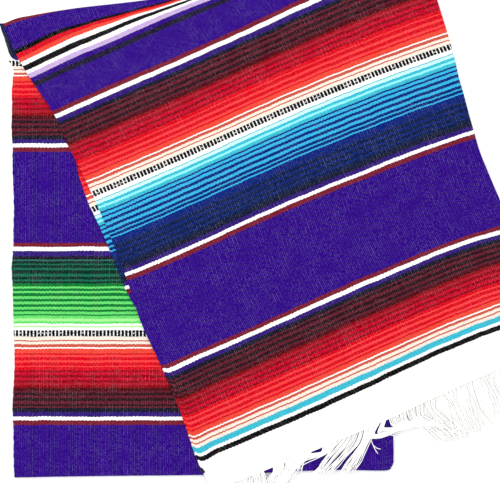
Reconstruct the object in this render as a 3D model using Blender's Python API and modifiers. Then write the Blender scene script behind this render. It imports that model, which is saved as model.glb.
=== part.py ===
# A striped serape blanket, doubled lengthwise, turned over at its head and tucked under at its foot.
# Metres, +Z up. The blanket lies on z = 0 and the middle of its whole outline is at x = y = 0.

import math
from collections import namedtuple

import bpy
import numpy as np

# The web: five feet wide off the loom, so each doubled leaf is half of that
WEB_WIDTH = 1.524
LEAF_WIDTH = WEB_WIDTH / 2
CLOTH = 0.0020  # thickness of the weave
SEAM = 0.0003  # space between plies that lie on each other
PLY = CLOTH + SEAM
SLACK = 0.0008  # air between the two leaves
FRINGE_LENGTH = 0.100

# The middle of the whole outline, measured from the point that the tables below count from
MIDDLE_X = 0.0706
MIDDLE_Y = -0.0070

# How the doubled web rises at its folds
TUCKED_LENGTH = 0.380  # foot of the blanket that lies under the lower leaf
TUCK_RAMP = 0.160  # stretch over which the leaf climbs onto the tucked foot
HEAD_RISE, HEAD_RAMP = 0.0035, 0.140  # the roll along the head fold
LONG_FOLD_RISE, LONG_FOLD_RAMP = 0.0016, 0.100  # the roll along each lengthwise fold
DROP_START, DROP_END = 0.008, 0.098  # where the upper leaf slopes from the lower one to the floor
WRAP_ANGLE = math.radians(165)  # how far a ply turns round a fold
ROLL_LENGTH = 0.007  # selvedge that curls under beside the fringe
ROLL_RADIUS = 0.0026
ROLL_RISE, ROLL_RAMP = 0.0026, 0.060
ROLL_FROM, ROLL_TO = 0.22, 0.34  # the curl opens out between these distances from the fringe
UNDER_PLY_INSET = 0.0004  # the under ply stops this short of the folds
HIDDEN_INSET = 0.0012  # the hidden plies keep this far inside the leaf's edge
HIDDEN_HEAD = 0.007  # and this far from the head fold
HEAD_SEARCH = (0.75, 1.06)  # the warp crosses the head fold between these distances
LOWER_HEAD = 0.020  # the lower leaf's own ply starts here below the head fold

# Grid steps
ACROSS, ALONG, FOLD_STEPS, ROLL_STEPS = 18, 24, 3, 2
LOWER_ACROSS, LOWER_ALONG = 16, 18

# Fringe
LOCKS = 60  # locks in each row
LOCK_STEPS = 4
LOCK_WIDTH, LOCK_TIP = 0.0056, 0.0026
LOCK_HEIGHT, LOCK_TIP_HEIGHT = 0.0018, 0.0012
STRIP_WIDTH = 0.0030
HEM_INSET = 0.012  # bare strip beside each edge of the leaf
LOCK_WAVE = 0.0012  # sideways wave of a lock
UNEVEN = 0.06  # share of its length by which a lock may fall short
TIP_LIFT = 0.0002

EdgePoint = namedtuple("EdgePoint", "along x y")
Bow = namedtuple("Bow", "along quarter half three_quarters")
LinePoint = namedtuple("LinePoint", "x y")
Shift = namedtuple("Shift", "along inward")
Sway = namedtuple("Sway", "across tip")

# Upper leaf: its two edges, by the distance along the warp from the woven end
UPPER_LEFT = [
    EdgePoint(0.000, -0.078, -0.501),
    EdgePoint(0.078, -0.108, -0.429),
    EdgePoint(0.150, -0.131, -0.361),
    EdgePoint(0.264, -0.174, -0.256),
    EdgePoint(0.364, -0.220, -0.157),
    EdgePoint(0.430, -0.240, -0.095),
    EdgePoint(0.536, -0.276, 0.001),
    EdgePoint(0.646, -0.317, 0.096),
    EdgePoint(0.690, -0.338, 0.140),
    EdgePoint(0.746, -0.369, 0.202),
    EdgePoint(0.800, -0.391, 0.252),
    EdgePoint(0.880, -0.438, 0.323),
    EdgePoint(0.956, -0.471, 0.381),
    EdgePoint(1.012, -0.493, 0.435),
    EdgePoint(1.060, -0.512, 0.480),
]
UPPER_RIGHT = [
    EdgePoint(0.000, 0.608, -0.217),
    EdgePoint(0.078, 0.582, -0.143),
    EdgePoint(0.264, 0.521, 0.029),
    EdgePoint(0.390, 0.472, 0.145),
    EdgePoint(0.471, 0.446, 0.221),
    EdgePoint(0.646, 0.404, 0.391),
    EdgePoint(0.760, 0.368, 0.499),
    EdgePoint(0.816, 0.346, 0.561),
    EdgePoint(1.060, 0.272, 0.790),
]
# How far the weft bows towards the fringe, at three places across the leaf
UPPER_BOW = [
    Bow(0.000, 0.0020, 0.0010, -0.0040),
    Bow(0.078, 0.0080, -0.0010, -0.0065),
    Bow(0.264, -0.0006, -0.0064, -0.0126),
    Bow(0.471, 0.0020, -0.0044, -0.0068),
    Bow(0.646, -0.0016, -0.0060, -0.0070),
    Bow(0.816, -0.0030, -0.0012, -0.0016),
    Bow(1.060, -0.0030, -0.0012, -0.0016),
]
# The under ply's selvedge, inward from the top ply's; it shows where this is negative
UNDER_SHIFT = [
    Shift(0.000, 0.0150),
    Shift(0.290, 0.0150),
    Shift(0.370, 0.0040),
    Shift(0.430, -0.0110),
    Shift(0.600, -0.0120),
    Shift(0.660, -0.0110),
    Shift(0.690, -0.0070),
    Shift(0.722, 0.0040),
    Shift(0.900, 0.0010),
    Shift(0.940, -0.0070),
    Shift(1.060, -0.0080),
]
# The head fold, where the upper leaf turns over
HEAD_FOLD = [
    LinePoint(-0.530, 0.410),
    LinePoint(-0.494, 0.427),
    LinePoint(-0.476, 0.436),
    LinePoint(-0.438, 0.445),
    LinePoint(-0.380, 0.455),
    LinePoint(-0.218, 0.475),
    LinePoint(0.060, 0.522),
    LinePoint(0.344, 0.571),
    LinePoint(0.420, 0.584),
]
# Lower leaf: selvedge, lengthwise fold and foot fold
LOWER_LEFT = [
    LinePoint(-0.494, 0.427),
    LinePoint(-0.490, 0.393),
    LinePoint(-0.485, 0.363),
    LinePoint(-0.478, 0.345),
    LinePoint(-0.475, 0.329),
    LinePoint(-0.474, 0.183),
    LinePoint(-0.475, -0.029),
    LinePoint(-0.474, -0.157),
    LinePoint(-0.471, -0.247),
    LinePoint(-0.474, -0.341),
    LinePoint(-0.473, -0.443),
    LinePoint(-0.471, -0.468),
]
LOWER_RIGHT = [
    LinePoint(0.342, 0.5705),
    LinePoint(0.330, 0.523),
    LinePoint(0.306, 0.383),
    LinePoint(0.290, 0.183),
    LinePoint(0.284, -0.117),
    LinePoint(0.282, -0.397),
    LinePoint(0.281, -0.454),
]
FOOT_FOLD = [
    LinePoint(-0.471, -0.468),
    LinePoint(-0.380, -0.4654),
    LinePoint(-0.092, -0.4626),
    LinePoint(0.200, -0.4538),
    LinePoint(0.281, -0.454),
]
# How far the tips of the locks lean along the hem, by the distance across the leaf;
# the hem's locks part where the lean changes at once
LOCK_SWAY = [
    Sway(0.000, -0.010),
    Sway(0.150, -0.016),
    Sway(0.250, -0.046),
    Sway(0.348, -0.080),
    Sway(0.352, 0.050),
    Sway(0.400, 0.030),
    Sway(0.480, 0.004),
    Sway(0.600, 0.008),
    Sway(0.760, 0.012),
]

# How the edges of the hidden plies show: share of the height, and how far each point stands out
EdgeStep = namedtuple("EdgeStep", "height out")
LAYERED_EDGE = [
    EdgeStep(0.00, -0.0003),
    EdgeStep(0.16, 0.0005),
    EdgeStep(0.33, -0.0002),
    EdgeStep(0.50, 0.0005),
    EdgeStep(0.67, -0.0002),
    EdgeStep(0.84, 0.0005),
    EdgeStep(1.00, -0.0003),
]


def read_curve(table, key, column, at):
    """Smooth curve through one column of a table: cubic pieces with the mean slope at each row."""
    keys = np.array([getattr(row, key) for row in table])
    values = np.array([getattr(row, column) for row in table])
    if keys[0] > keys[-1]:
        keys, values = keys[::-1], values[::-1]
    slopes = np.gradient(values, keys)
    at = np.clip(at, keys[0], keys[-1])
    low = np.clip(np.searchsorted(keys, at) - 1, 0, len(keys) - 2)
    step = keys[low + 1] - keys[low]
    t = (at - keys[low]) / step
    start = (1 + 2 * t) * (1 - t) ** 2 * values[low] + t * (1 - t) ** 2 * step * slopes[low]
    end = t * t * (3 - 2 * t) * values[low + 1] + t * t * (t - 1) * step * slopes[low + 1]
    return start + end


def ease(distance, ramp):
    """1 at the line and before it, 0 from the ramp's end on, smooth between."""
    t = np.clip(distance / ramp, 0, 1)
    return 1 - t * t * (3 - 2 * t)


def head_line(x):
    return read_curve(HEAD_FOLD, "x", "y", x)


def foot_line(x):
    return read_curve(FOOT_FOLD, "x", "y", x)


def lower_right_line(y):
    return read_curve(LOWER_RIGHT, "y", "x", y)


# Heights

def lower_height(x, y):
    """Middle of the lower leaf's own ply: one ply up, and higher at the folds and over the tuck."""
    to_head = head_line(x) - y
    to_fold = lower_right_line(y) - x
    tuck_top = foot_line(x) + TUCKED_LENGTH
    tucked = 2 * PLY * ease(y - tuck_top + TUCK_RAMP, TUCK_RAMP)
    head = HEAD_RISE * ease(to_head, HEAD_RAMP)
    fold = LONG_FOLD_RISE * ease(to_fold, LONG_FOLD_RAMP) * (1 - head / HEAD_RISE)
    return PLY + CLOTH / 2 + tucked + head + fold


def rest_height(x, y):
    """Surface that the upper leaf lies on: the lower leaf, then a slope to the floor past its edge."""
    inside_x = np.minimum(x, lower_right_line(y))
    inside_y = np.clip(y, foot_line(inside_x), head_line(inside_x))
    past_x = np.maximum(x - lower_right_line(inside_y), 0)
    past_y = np.maximum(foot_line(inside_x) - y, 0)
    past = np.hypot(past_x, past_y)
    top = lower_height(inside_x, inside_y) + CLOTH / 2 + SLACK
    return top * ease(past - DROP_START, DROP_END - DROP_START)


def curl(along):
    """1 where the selvedge is curled under, 0 where it lies flat."""
    return ease(along - ROLL_FROM, ROLL_TO - ROLL_FROM)


def upper_height(x, y, to_fold):
    """Middle of the upper leaf's top ply, which rises to its roll along the lengthwise fold."""
    return rest_height(x, y) + PLY + CLOTH / 2 + LONG_FOLD_RISE * ease(to_fold, LONG_FOLD_RAMP)


def selvedge_height(across, along):
    """What the top ply adds to that where its selvedge curls under."""
    return ROLL_RISE * ease(across, ROLL_RAMP) * curl(along)


# Plans

def upper_edges(along):
    left = np.stack([read_curve(UPPER_LEFT, "along", c, along) for c in "xy"], axis=-1)
    right = np.stack([read_curve(UPPER_RIGHT, "along", c, along) for c in "xy"], axis=-1)
    return left, right


def upper_plan(share, along):
    """Point of the upper leaf seen from above, for a share of its width and a distance along the warp."""
    left, right = upper_edges(along)
    span = right - left
    width = np.linalg.norm(span, axis=-1)
    towards_fringe = np.stack([span[..., 1], -span[..., 0]], axis=-1) / width[..., None]
    quarter, half, three = (read_curve(UPPER_BOW, "along", c, along) for c in Bow._fields[1:])
    s = np.clip(share, 0, 1)
    # the quartic that is 0 at both edges and takes the three bows at the quarters
    bow = (quarter * s * (s - 0.5) * (s - 0.75) * (s - 1) / (0.25 * -0.25 * -0.5 * -0.75)
           + half * s * (s - 0.25) * (s - 0.75) * (s - 1) / (0.5 * 0.25 * -0.25 * -0.5)
           + three * s * (s - 0.25) * (s - 0.5) * (s - 1) / (0.75 * 0.5 * 0.25 * -0.25))
    plan = left + span * share[..., None] + towards_fringe * bow[..., None]
    return plan, width, span / width[..., None]


def head_along(share):
    """Distance along the warp at which each line of warp reaches the head fold."""
    samples = np.linspace(*HEAD_SEARCH, 400)
    reach = np.empty_like(share)
    for i, s in enumerate(share):
        plan, _, _ = upper_plan(np.full_like(samples, s), samples)
        gap = plan[:, 1] - head_line(plan[:, 0])
        reach[i] = np.interp(0.0, gap, samples)
    return reach


def lower_plan(share, down):
    """Point of the lower leaf seen from above: its four edges blended, from the head fold down."""
    def along_edge(table):
        y = table[0].y + (table[-1].y - table[0].y) * down
        return np.stack([read_curve(table, "y", "x", y), y], axis=-1)

    def along_fold(start_x, end_x, line):
        x = start_x + (end_x - start_x) * share
        return np.stack([x, line(x)], axis=-1)

    head = along_fold(LOWER_LEFT[0].x, LOWER_RIGHT[0].x, head_line)
    foot = along_fold(LOWER_LEFT[-1].x, LOWER_RIGHT[-1].x, foot_line)
    s, t = share[..., None], down[..., None]
    corners = ((1 - s) * (1 - t) * np.array(LOWER_LEFT[0]) + s * (1 - t) * np.array(LOWER_RIGHT[0])
               + (1 - s) * t * np.array(LOWER_LEFT[-1]) + s * t * np.array(LOWER_RIGHT[-1]))
    return (1 - s) * along_edge(LOWER_LEFT) + s * along_edge(LOWER_RIGHT) + (1 - t) * head + t * foot - corners


def turn_under(plan, height, side, side_out, end, end_out):
    """Carry points past a fold: round a half cylinder down to the floor, and round a ball at a corner."""
    turned = np.maximum(side, end)
    out = side[..., None] * side_out + end[..., None] * end_out
    length = np.linalg.norm(out, axis=-1)
    out = out / np.where(length > 0, length, 1)[..., None]
    radius = (height - CLOTH / 2) / 2
    angle = turned * WRAP_ANGLE
    x = plan[..., 0] + out[..., 0] * radius * np.sin(angle)
    y = plan[..., 1] + out[..., 1] * radius * np.sin(angle)
    return np.stack([x, y, height - radius * (1 - np.cos(angle))], axis=-1)


def fold_shares(steps):
    return np.arange(1, steps + 1) / steps


# Meshes and materials

def cloth_material(name, colour, roughness=0.9):
    material = bpy.data.materials.new(name)
    material.use_nodes = True
    shader = material.node_tree.nodes["Principled BSDF"]
    shader.inputs["Base Color"].default_value = (*colour, 1)
    shader.inputs["Roughness"].default_value = roughness
    return material


def add_object(name, points, faces, material, root, collection):
    mesh = bpy.data.meshes.new(name)
    points = np.asarray(points) - (MIDDLE_X, MIDDLE_Y, 0)
    mesh.from_pydata([tuple(map(float, p)) for p in points], [], faces)
    mesh.materials.append(material)
    mesh.shade_smooth()
    obj = bpy.data.objects.new(name, mesh)
    obj.parent = root
    collection.objects.link(obj)
    return obj


def grid_faces(rows, columns, turn=False):
    """Quads of a grid of points stored row by row."""
    faces = []
    for r in range(rows - 1):
        for c in range(columns - 1):
            a = r * columns + c
            quad = (a, a + 1, a + columns + 1, a + columns)
            faces.append(quad[::-1] if turn else quad)
    return faces


def add_ply(name, grid, material, root, collection):
    """One ply: an open sheet that gets its thickness on both sides."""
    rows, columns, _ = grid.shape
    obj = add_object(name, grid.reshape(-1, 3), grid_faces(rows, columns), material, root, collection)
    solid = obj.modifiers.new("Cloth", "SOLIDIFY")
    solid.thickness = CLOTH
    solid.offset = 0
    return obj


def upper_top_grid():
    """Top ply of the upper leaf, rows from the fringe to the head fold and round it."""
    inner = np.linspace(0, 1, ACROSS + 1)
    share = np.concatenate([np.zeros(ROLL_STEPS), inner, np.ones(FOLD_STEPS)])
    past_left = np.concatenate([fold_shares(ROLL_STEPS)[::-1], np.zeros(ACROSS + 1 + FOLD_STEPS)])
    past_right = np.concatenate([np.zeros(ROLL_STEPS + ACROSS + 1), fold_shares(FOLD_STEPS)])
    part = np.concatenate([np.linspace(0, 1, ALONG + 1), np.ones(FOLD_STEPS)])
    past_head = np.concatenate([np.zeros(ALONG + 1), fold_shares(FOLD_STEPS)])
    share_grid, part_grid = np.meshgrid(share, part)
    along = part_grid * head_along(share)[None, :]
    # the edge table is the outermost line, so the flat stretch starts the curl's own reach inside it
    bend = np.maximum(curl(along), 0.02) / ROLL_RADIUS
    reach = np.sin(np.minimum(bend * ROLL_LENGTH, math.pi / 2)) / bend
    _, width, _ = upper_plan(share_grid, along)
    moved = share_grid + (1 - share_grid) * reach / width
    plan, width, across_out = upper_plan(moved, along)
    height = upper_height(plan[..., 0], plan[..., 1], (1 - moved) * width)
    height = height + selvedge_height(moved * width, along)
    arc = past_left[None, :] * ROLL_LENGTH
    plan = plan - across_out * (np.sin(bend * arc) / bend)[..., None]
    height = height - (1 - np.cos(bend * arc)) / bend
    head_slope = (head_line(plan[..., 0] + 0.01) - head_line(plan[..., 0] - 0.01)) / 0.02
    head_out = np.stack([-head_slope, np.ones_like(head_slope)], axis=-1)
    head_out /= np.linalg.norm(head_out, axis=-1)[..., None]
    side = np.broadcast_to(past_right[None, :], along.shape)
    end = np.broadcast_to(past_head[:, None], along.shape)
    return turn_under(plan, height, side, across_out, end, head_out)


def upper_under_grid():
    """Under ply of the upper leaf: the top ply's points moved down, with its own selvedge."""
    share = np.linspace(0, 1, ACROSS + 1)
    part = np.linspace(0, 1, ALONG + 1)
    share_grid, part_grid = np.meshgrid(share, part)
    along = part_grid * head_along(share)[None, :]
    _, width, _ = upper_plan(share_grid, along)
    shift = read_curve(UNDER_SHIFT, "along", "inward", along) / width
    first = np.arange(ACROSS + 1)[None, :] == 0
    share_grid = np.where(first, shift, share_grid)
    share_grid = np.minimum(share_grid, 1 - UNDER_PLY_INSET / width)
    plan, width, _ = upper_plan(share_grid, along)
    height = upper_height(plan[..., 0], plan[..., 1], (1 - share_grid) * width) - PLY
    return np.concatenate([plan, height[..., None]], axis=-1)


def lower_grid():
    """The lower leaf's own ply, rows from just under the head fold to the foot fold and round it."""
    share = np.concatenate([np.linspace(0, 1, LOWER_ACROSS + 1), np.ones(FOLD_STEPS)])
    past_right = np.concatenate([np.zeros(LOWER_ACROSS + 1), fold_shares(FOLD_STEPS)])
    down = np.concatenate([lower_rows(LOWER_HEAD), np.ones(FOLD_STEPS)])
    past_foot = np.concatenate([np.zeros(LOWER_ALONG + 1), fold_shares(FOLD_STEPS)])
    share_grid, down_grid = np.meshgrid(share, down)
    plan = lower_plan(share_grid, down_grid)
    height = lower_height(plan[..., 0], plan[..., 1])
    right_out = np.broadcast_to(np.array([1.0, 0.0]), plan.shape)
    foot_out = np.broadcast_to(np.array([0.0, -1.0]), plan.shape)
    side = np.broadcast_to(past_right[None, :], share_grid.shape)
    end = np.broadcast_to(past_foot[:, None], share_grid.shape)
    return turn_under(plan, height, side, right_out, end, foot_out)


def lower_rows(head):
    """Shares of the way down the lower leaf, the first one a set distance below the head fold."""
    leaf_length = HEAD_FOLD[5].y - FOOT_FOLD[2].y
    return np.linspace(head / leaf_length, 1, LOWER_ALONG + 1)


def add_hidden_layers(material, root, collection):
    """The plies that nothing shows, as one slab: flat below, the leaf's own points above, layered edges."""
    share = np.linspace(0, 1, LOWER_ACROSS + 1)
    share[0], share[-1] = HIDDEN_INSET / LEAF_WIDTH, 1 - HIDDEN_INSET / LEAF_WIDTH
    down = np.concatenate([lower_rows(HIDDEN_HEAD)[:1], lower_rows(LOWER_HEAD)])
    down[-1] = 1 - HIDDEN_INSET / LEAF_WIDTH
    share_grid, down_grid = np.meshgrid(share, down)
    plan = lower_plan(share_grid, down_grid)
    top = lower_height(plan[..., 0], plan[..., 1]) - CLOTH / 2 - SEAM
    rows, columns = top.shape
    ring = ([(0, c) for c in range(columns)] + [(r, columns - 1) for r in range(1, rows)]
            + [(rows - 1, c) for c in range(columns - 2, -1, -1)] + [(r, 0) for r in range(rows - 2, 0, -1)])
    ring_r, ring_c = np.array(ring).T
    out_x = (ring_c == columns - 1).astype(float) - (ring_c == 0)
    out_y = (ring_r == 0).astype(float) - (ring_r == rows - 1)
    out = np.stack([out_x, out_y], axis=-1)
    out /= np.linalg.norm(out, axis=-1)[:, None]
    ring_plan, ring_top = plan[ring_r, ring_c], top[ring_r, ring_c]
    plan[ring_r, ring_c] += out * LAYERED_EDGE[-1].out
    points = np.concatenate([plan, top[..., None]], axis=-1).reshape(-1, 3)
    faces = grid_faces(rows, columns, turn=True)
    upper_ring = [r * columns + c for r, c in ring]
    for step in LAYERED_EDGE[-2::-1]:
        first = len(points)
        edge = np.concatenate([ring_plan + out * step.out, (ring_top * step.height)[:, None]], axis=-1)
        points = np.concatenate([points, edge])
        lower_ring = list(range(first, first + len(ring)))
        for i in range(len(ring)):
            j = (i + 1) % len(ring)
            faces.append((upper_ring[i], upper_ring[j], lower_ring[j], lower_ring[i]))
        upper_ring = lower_ring
    faces.append(tuple(upper_ring))
    return add_object("hidden_layers", points, faces, material, root, collection)


def add_fringe(name, ply_drop, phase, material, root, collection):
    """A narrow strip along the woven end with one row of locks drawn out of its outer face."""
    end_left, end_right = upper_edges(np.array([0.0]))
    width = float(np.linalg.norm(end_right - end_left))
    pitch = (width - 2 * HEM_INSET) / LOCKS
    centres = HEM_INSET + pitch * (np.arange(LOCKS) + 0.5)
    stations = np.sort(np.concatenate([centres - LOCK_WIDTH / 2, centres + LOCK_WIDTH / 2]))
    span = ((end_right - end_left) / width)[0]
    out = np.array([span[1], -span[0]])

    def hem_point(across, beyond):
        share = np.asarray(across) / width
        plan, _, _ = upper_plan(share, np.zeros_like(share))
        return plan + out * np.asarray(beyond)[..., None]

    def surface(plan):
        return rest_height(plan[..., 0], plan[..., 1]) + PLY + CLOTH / 2 - ply_drop

    points, faces = [], []
    rims = []
    for beyond in (SEAM, SEAM + STRIP_WIDTH):
        plan = hem_point(stations, np.full_like(stations, beyond))
        rims.append((plan, surface(plan)))
    half = LOCK_HEIGHT / 2
    for i in range(len(stations)):
        for (plan, mid), lift in ((rims[0], half), (rims[0], -half), (rims[1], -half), (rims[1], half)):
            points.append((*plan[i], mid[i] + lift))
    faces.append((0, 1, 2, 3))
    for i in range(len(stations) - 1):
        a, b = 4 * i, 4 * (i + 1)
        faces += [(a, b, b + 1, a + 1), (a + 1, b + 1, b + 2, a + 2), (a + 3, b + 3, b, a)]
        if i % 2 == 1:
            faces.append((a + 2, b + 2, b + 3, a + 3))
    last = 4 * (len(stations) - 1)
    faces.append((last + 3, last + 2, last + 1, last))

    for k, centre in enumerate(centres):
        a, b = 4 * (2 * k), 4 * (2 * k + 1)
        ring = (a + 2, b + 2, b + 3, a + 3)
        lean = float(np.interp(centre, [row.across for row in LOCK_SWAY], [row.tip for row in LOCK_SWAY]))
        wave = LOCK_WAVE * math.sin(2.4 * k + phase)
        length = FRINGE_LENGTH * (1 - UNEVEN / 2 + UNEVEN / 2 * math.sin(1.7 * k + 2 * phase))
        for step in range(1, LOCK_STEPS + 1):
            t = step / LOCK_STEPS
            root_point = hem_point(np.array([centre]), np.array([SEAM + STRIP_WIDTH + length * t]))[0]
            plan = root_point + span * (lean * t ** 1.5 + wave * math.sin(math.pi * t))
            wide = LOCK_WIDTH / 2 * (1 - t) + LOCK_TIP / 2 * t
            deep = half * (1 - t) + LOCK_TIP_HEIGHT / 2 * t
            mid = float(surface(plan[None])[0]) + TIP_LIFT * t
            first = len(points)
            for side, lift in ((-wide, -deep), (wide, -deep), (wide, deep), (-wide, deep)):
                corner = plan + span * side
                points.append((*corner, mid + lift))
            tip = (first, first + 1, first + 2, first + 3)
            for i in range(4):
                j = (i + 1) % 4
                faces.append((ring[i], ring[j], tip[j], tip[i]))
            ring = tip
        faces.append(ring)
    return add_object(name, points, faces, material, root, collection)


def main():
    for obj in list(bpy.data.objects):
        bpy.data.objects.remove(obj, do_unlink=True)
    collection = bpy.data.collections.new("Folded serape")
    bpy.context.scene.collection.children.link(collection)
    root = bpy.data.objects.new("Serape", None)
    collection.objects.link(root)

    purple = cloth_material("Purple wool", (0.045, 0.010, 0.300))
    shaded = cloth_material("Shaded purple wool", (0.030, 0.008, 0.200))
    maroon = cloth_material("Maroon wool", (0.250, 0.015, 0.025))
    cream = cloth_material("White warp", (0.900, 0.890, 0.840), roughness=0.8)

    add_ply("upper_leaf_top", upper_top_grid(), purple, root, collection)
    add_ply("upper_leaf_under", upper_under_grid(), shaded, root, collection)
    add_ply("lower_leaf_top", lower_grid(), purple, root, collection)
    add_hidden_layers(maroon, root, collection)
    add_fringe("fringe_top", 0.0, 0.0, cream, root, collection)
    add_fringe("fringe_under", PLY, 2.0, cream, root, collection)


main()
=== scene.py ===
# Folded striped serape: its looks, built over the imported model. Metres, +Z up, the floor at z = 0.
import math

import bpy
import numpy as np
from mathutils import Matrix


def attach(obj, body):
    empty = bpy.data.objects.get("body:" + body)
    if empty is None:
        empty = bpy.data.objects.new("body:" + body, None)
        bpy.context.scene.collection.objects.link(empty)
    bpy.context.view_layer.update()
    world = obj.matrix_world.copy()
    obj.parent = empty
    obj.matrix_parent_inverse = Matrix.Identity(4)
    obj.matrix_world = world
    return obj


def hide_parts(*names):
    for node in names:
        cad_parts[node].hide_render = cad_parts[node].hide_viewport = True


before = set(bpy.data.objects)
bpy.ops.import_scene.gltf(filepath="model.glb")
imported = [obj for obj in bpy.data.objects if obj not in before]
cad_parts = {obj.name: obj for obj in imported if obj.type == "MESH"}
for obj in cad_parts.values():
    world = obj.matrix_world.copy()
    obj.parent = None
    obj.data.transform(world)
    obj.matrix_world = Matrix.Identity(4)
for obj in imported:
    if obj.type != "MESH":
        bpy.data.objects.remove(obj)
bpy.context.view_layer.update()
print("frame loaded")

# the cloth and how it is folded; lengths in metres
blanket = dict(
    cloth=0.0020,  # thickness of the weave
    seam=0.0003,  # space between plies
    slack=0.0008,  # air between the two leaves
    leafWidth=0.762,
    middle=(0.0706, -0.0070),  # middle of the whole outline, from the point that the tables count from
    wrap=math.radians(165),  # how far a ply turns round a fold
    tucked=0.380,  # foot that lies under the lower leaf
    tuckRamp=0.160,
    headRise=0.0035,
    headRamp=0.140,
    foldRise=0.0016,
    foldRamp=0.100,
    dropStart=0.008,
    dropEnd=0.098,
)
ply = blanket["cloth"] + blanket["seam"]
half = blanket["cloth"] / 2

# head fold and the lower leaf's edges as (x, y)
headFold = [(-0.53, 0.412), (-0.494, 0.429), (-0.477, 0.4365), (-0.438, 0.445), (-0.38, 0.455),
            (-0.218, 0.475), (0.06, 0.522), (0.344, 0.571), (0.42, 0.584)]
footFold = [(-0.471, -0.4688), (-0.38, -0.467), (-0.25, -0.4653), (-0.092, -0.4636), (0.2, -0.4536),
            (0.262, -0.454), (0.272, -0.4538), (0.2775, -0.4525)]
lowerLeft = [(-0.484, 0.427), (-0.478, 0.393), (-0.484, 0.368), (-0.485, 0.36), (-0.4764, 0.3462),
             (-0.4745, 0.339), (-0.4755, 0.32), (-0.4775, 0.3), (-0.4772, 0.265), (-0.4782, 0.223),
             (-0.4762, 0.183), (-0.4762, 0.143), (-0.4745, 0.1), (-0.4735, 0.063), (-0.4745, 0.02),
             (-0.4745, 0.0), (-0.4765, -0.035), (-0.4782, -0.057), (-0.4765, -0.085),
             (-0.4755, -0.117), (-0.474, -0.17), (-0.4715, -0.247), (-0.474, -0.3),
             (-0.4755, -0.337), (-0.4737, -0.377), (-0.4732, -0.443), (-0.472, -0.468)]
lowerRight = [(0.342, 0.5705), (0.33, 0.523), (0.306, 0.383), (0.29, 0.183), (0.284, -0.117),
              (0.282, -0.397), (0.2824, -0.43), (0.281, -0.447), (0.2775, -0.4525)]


def unit(vectors):
    return vectors / np.linalg.norm(vectors, axis=-1)[..., None]


def raised(plan, height):
    return np.concatenate([plan, height[..., None]], axis=-1)


def softShares(second, third, count):
    # shares from 0 to 1 in even steps, with two more beside the raw edge, where the cloth is thinned
    return np.concatenate([[0, second, third], np.linspace(0.0045, 1, count)])


def readCurve(table, column, at, key=0):
    # smooth curve through one column of a table: cubic pieces with the mean slope at each row
    rows = np.array(sorted(table, key=lambda row: row[key]), float)
    keys, values = rows[:, key], rows[:, column]
    slopes = np.gradient(values, keys)
    at = np.clip(at, keys[0], keys[-1])
    low = np.clip(np.searchsorted(keys, at) - 1, 0, len(keys) - 2)
    step = keys[low + 1] - keys[low]
    t = (at - keys[low]) / step
    start = (1 + 2 * t) * (1 - t) ** 2 * values[low] + t * (1 - t) ** 2 * step * slopes[low]
    end = t * t * (3 - 2 * t) * values[low + 1] + t * t * (t - 1) * step * slopes[low + 1]
    return start + end


def ease(distance, ramp):
    # 1 at the line and before it, 0 from the ramp's end on, smooth between
    t = np.clip(distance / ramp, 0, 1)
    return 1 - t * t * (3 - 2 * t)


def headLine(x):
    return readCurve(headFold, 1, x)


def footLine(x):
    return readCurve(footFold, 1, x)


def foldLine(y):
    return readCurve(lowerRight, 0, y, key=1)


# creases, as (x, y of the middle, turn in degrees, length, half width, height)
lowerCreases = [
    (-0.4, 0.06, 84, 0.42, 0.016, 0.001),
    (-0.33, -0.25, 12, 0.3, 0.014, 0.0009),
    (-0.44, -0.33, 70, 0.24, 0.012, 0.0008),
    (0.23, -0.43, 35, 0.12, 0.01, 0.0007),
]
upperCreases = [
    (0.02, 0.12, -62, 0.62, 0.022, 0.0014),
    (0.19, -0.02, -70, 0.52, 0.018, 0.0011),
    (-0.15, 0.26, 14, 0.46, 0.02, 0.0012),
    (-0.33, 0.24, -58, 0.26, 0.012, 0.001),
    (0.3, 0.3, -66, 0.38, 0.02, 0.0012),
    (-0.02, -0.23, 20, 0.42, 0.018, 0.001),
    (0.42, -0.06, -68, 0.3, 0.016, 0.001),
    (-0.11, -0.33, -64, 0.2, 0.01, 0.0009),
]


def creaseHeight(x, y, creases):
    # each crease is a ridge: a bell across it that fades to its ends, its line bent by a slow wave
    height = np.zeros_like(x)
    for midX, midY, turn, length, width, rise in creases:
        c, s = math.cos(math.radians(turn)), math.sin(math.radians(turn))
        along = (x - midX) * c + (y - midY) * s
        side = (y - midY) * c - (x - midX) * s + 0.5 * width * np.sin(along * 2.6 / length * math.pi)
        fade = np.clip(1 - (2 * along / length) ** 2, 0, 1) ** 2
        height = height + rise * np.exp(-(side / width) ** 2) * fade
    return height


def lowerHeight(x, y):
    # middle of the lower leaf's own ply: one ply up, higher at its folds and over the tucked foot
    toHead = headLine(x) - y
    toFold = foldLine(y) - x
    tuckTop = footLine(x) + blanket["tucked"]
    tuckedPlies = 2 * ply * ease(y - tuckTop + blanket["tuckRamp"], blanket["tuckRamp"])
    head = blanket["headRise"] * ease(toHead, blanket["headRamp"])
    fold = blanket["foldRise"] * ease(toFold, blanket["foldRamp"]) * (1 - head / blanket["headRise"])
    return ply + half + tuckedPlies + head + fold + creaseHeight(x, y, lowerCreases)


def restHeight(x, y):
    # what the upper leaf lies on: the lower leaf, then a slope down to the floor past its edge
    insideX = np.minimum(x, foldLine(y))
    insideY = np.clip(y, footLine(insideX), headLine(insideX))
    past = np.hypot(np.maximum(x - foldLine(insideY), 0), np.maximum(footLine(insideX) - y, 0))
    top = lowerHeight(insideX, insideY) + half + blanket["slack"]
    return top * ease(past - blanket["dropStart"], blanket["dropEnd"] - blanket["dropStart"])


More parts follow.
